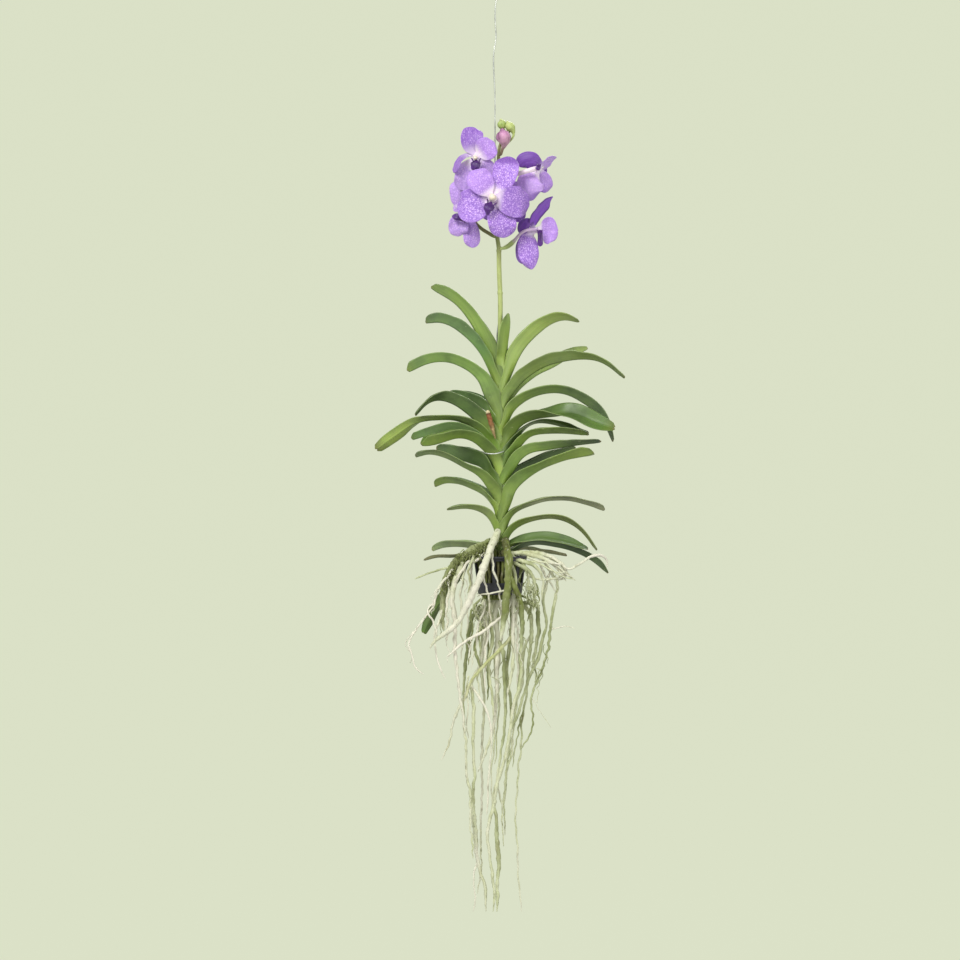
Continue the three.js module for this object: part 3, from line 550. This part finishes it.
// round section of changing radius, carried along the path without twist
function taper(rows, sides) {
  const pts = rows.map(point);
  const tan = tangents(pts);
  let normal = V(0, 1, 0).addScaledVector(tan[0], -tan[0].y);
  if (normal.lengthSq() < 1e-4) normal = V(1, 0, 0).addScaledVector(tan[0], -tan[0].x);
  normal.normalize();
  const sections = pts.map((p, i) => {
    normal.addScaledVector(tan[i], -normal.dot(tan[i])).normalize();
    const side = tan[i].clone().cross(normal);
    const ring = [];
    for (let k = 0; k < sides; k++) {
      const a = (k / sides) * Math.PI * 2;
      ring.push(p.clone().addScaledVector(normal, Math.cos(a) * rows[i][3]).addScaledVector(side, Math.sin(a) * rows[i][3]));
    }
    return ring;
  });
  return loft(sections);
}

// leaf blade folded along its keel
function blade({ b, t, r }) {
  const pts = r.map(point);
  const tan = tangents(pts);
  const b0 = V(...b);
  const last = r.length - 1;
  const sections = r.map((row, i) => {
    const n = b0.clone().cross(tan[i]).normalize();
    const side = tan[i].clone().cross(n);
    const by = side.y < 0 ? -1 : 1;
    const arm = row[3], g = THREE.MathUtils.degToRad(row[4]), roll = THREE.MathUtils.degToRad(row[5]);
    const h = (i === last ? 0.55 : 1) * t / 2;
    const at = (y, up) => {
      const y2 = y * Math.cos(roll) - up * Math.sin(roll);
      const n2 = y * Math.sin(roll) + up * Math.cos(roll);
      return pts[i].clone().addScaledVector(side, y2 * by).addScaledVector(n, n2);
    };
    const c = Math.cos(g), s = Math.sin(g);
    const in_ = Math.min(h / c, 1.5 * h), out = Math.min(h / c, 1.7 * h);
    return [
      at(-arm * c + h * s, arm * s + h * c), at(0, in_), at(arm * c - h * s, arm * s + h * c),
      at(arm * c + h * s, arm * s - h * c), at(0, -out), at(-arm * c - h * s, arm * s - h * c),
    ];
  });
  return loft(sections);
}

// tepal or lip: a thin cupped strip that faces the front, turned about its midline by its roll
function tepal({ cup, face, r }, thickness, centre) {
  const rows = centre ? [[centre[0], centre[1], centre[2], Math.max(1.1, r[0][3] * 0.7), r[0][4]], ...r] : r;
  const pts = rows.map(point);
  const tan = tangents(pts);
  const sections = rows.map((row, i) => {
    const n = V(0, face, 0).addScaledVector(tan[i], -face * tan[i].y).normalize();
    n.applyAxisAngle(tan[i], THREE.MathUtils.degToRad(row[4]));
    const side = tan[i].clone().cross(n);
    const w = row[3], h = thickness / 2;
    const at = (x, up) => pts[i].clone().addScaledVector(side, x).addScaledVector(n, up);
    return [at(-w, cup * w + h), at(0, h), at(w, cup * w + h), at(w, cup * w - h), at(0, -h), at(-w, cup * w - h)];
  });
  return loft(sections);
}

// ---- the pieces ---------------------------------------------------------------
const plant = new THREE.Group();

function piece(name, geometry, colour) {
  const [hex, roughness, metalness] = COLOUR[colour];
  const mesh = new THREE.Mesh(geometry, new THREE.MeshStandardMaterial({ color: hex, roughness, metalness }));
  mesh.name = name;
  plant.add(mesh);
}

// hanger wire: open hook, straight run behind the plant, down inside the basket's
// back wall, out through the back slot and up against the rim
function hangerWire() {
  const path = [[-6.2, 0, -HOOK_DROP - 3.5]];
  for (let k = 0; k <= 8; k++) {
    const a = Math.PI - (k / 8) * Math.PI;
    path.push([Math.cos(a) * HOOK_R, 0, -HOOK_DROP + Math.sin(a) * HOOK_R]);
  }
  path.push([6.3, 0, -9.5], [4.2, 0, -14.5], [1.4, 0, -18.5], [0.1, 0, -24]);
  path.push(...WIRE_RUN);
  const back = BASKET_Y + WALL_R_TOP - WALL_T - 1.2;       // inside face of the back wall
  path.push(
    [BASKET_X, back - 1.2, RIM_Z + 6], [BASKET_X, back - 0.5, RIM_Z], [BASKET_X, back - 0.5, RIM_Z - 4.2],
    [BASKET_X, back + 0.3, RIM_Z - 6.6], [BASKET_X, back + 2.6, RIM_Z - 7.8], [BASKET_X, back + 5.0, RIM_Z - 6.9],
    [BASKET_X, BASKET_Y + RIM_R + 1.1, RIM_Z - 4.2], [BASKET_X, BASKET_Y + RIM_R + 1.3, RIM_Z + 1.2]);
  return taper(path.map((p) => [...p, WIRE_D / 2]), 6);
}

function netBasket() {
  const base = RIM_Z - BASKET_H;
  const profile = [
    [WALL_R_TOP - WALL_T, RIM_Z], [RIM_R, RIM_Z], [RIM_R, RIM_Z - RIM_T], [WALL_R_TOP, RIM_Z - RIM_T],
    [WALL_R_BASE, base], [BASE_HOLE_R, base], [BASE_HOLE_R, base + WALL_T], [WALL_R_BASE - WALL_T, base + WALL_T],
    [WALL_R_TOP - WALL_T, RIM_Z],
  ].map(([r, z]) => new THREE.Vector2(r, z));
  // the lathe turns about Y, so it is stood up and moved to the basket's axis
  const place = new THREE.Matrix4().makeTranslation(BASKET_X, BASKET_Y, 0).multiply(new THREE.Matrix4().makeRotationX(Math.PI / 2));
  const lathe = new THREE.LatheGeometry(profile, 24);
  let body = clean(lathe.applyMatrix4(place));
  if (volume(body) < 0) {
    const ix = body.index.array;
    for (let i = 0; i < ix.length; i += 3) [ix[i], ix[i + 1]] = [ix[i + 1], ix[i]];
  }
  let s = solid(body);
  for (const y of [-6.1, 5.3]) {                               // two bars across the base
    const half = Math.sqrt(BASE_HOLE_R ** 2 - y ** 2) + 0.6;
    const bar = new THREE.BoxGeometry(2 * half, 1.6, 1.5);
    bar.translate(BASKET_X, BASKET_Y + y, base + 0.75);
    s = s.add(solid(bar));
  }
  for (let k = 0; k < SLOTS; k++) {
    const slot = new THREE.BoxGeometry(10, SLOT_W * (1 - 0.0), SLOT_H);
    slot.translate(18.5, 0, RIM_Z - 3.6 - SLOT_H / 2);
    slot.rotateZ(((k + 0.0) / SLOTS) * Math.PI * 2);
    slot.translate(BASKET_X, BASKET_Y, 0);
    s = s.subtract(solid(slot));
  }
  return fromSolid(s);
}

function stemTie() {
  const g = new THREE.TorusGeometry(1, 0.1, 6, 20);
  const p = g.attributes.position;
  // ring of constant thickness on an oval
  for (let i = 0; i < p.count; i++) {
    const x = p.getX(i), y = p.getY(i), z = p.getZ(i);
    const r = Math.hypot(x, y), ux = x / r, uy = y / r;
    const off = (r - 1) * 10 * (TIE_D / 2);
    p.setXYZ(i, TIE_X + ux * TIE_RX + ux * off, TIE_Y + uy * TIE_RY + uy * off, TIE_Z + z * 10 * (TIE_D / 2));
  }
  return clean(g);
}

piece("hanger_wire", hangerWire(), "wire");
piece("stem_tie", stemTie(), "wire");
piece("net_basket", netBasket(), "basket");
piece("stem", taper(STEM_PATH, 8), "stem");
for (const [name, leaf] of Object.entries(LEAVES)) piece(name, blade(leaf), leaf.c);
piece("flower_spike", taper(SPIKE_PATH, 6), "spike");
for (const [key, f] of Object.entries(FLOWERS)) {
  const parts = [taper([...f.stalk, [...f.c, f.stalk.at(-1)[3]]], 6), taper(f.col, 6)];
  for (const t of Object.values(f.tepals)) parts.push(tepal(t, TEPAL_T, f.c));
  piece("flower_" + key, joined(parts), "flower");
  piece("lip_" + key, tepal(f.lip, TEPAL_T), "lip");
}
for (const [name, rows] of Object.entries(BUDS)) piece(name, taper(rows, 6), name === "bud_violet" ? "bud_violet" : "bud");
piece("old_spike_stub", taper(STUB_PATH, 6), "stub");
const ROOT_COLOUR = { root_front_white: "white_root", root_front_green: "green_root", root_left_green: "green_root" };
for (const [name, list] of Object.entries(ROOTS)) {
  piece(name, joined(list.map((rows) => taper(rows, ROOT_SIDES))), ROOT_COLOUR[name] ?? "pale_root");
}

export default plant;
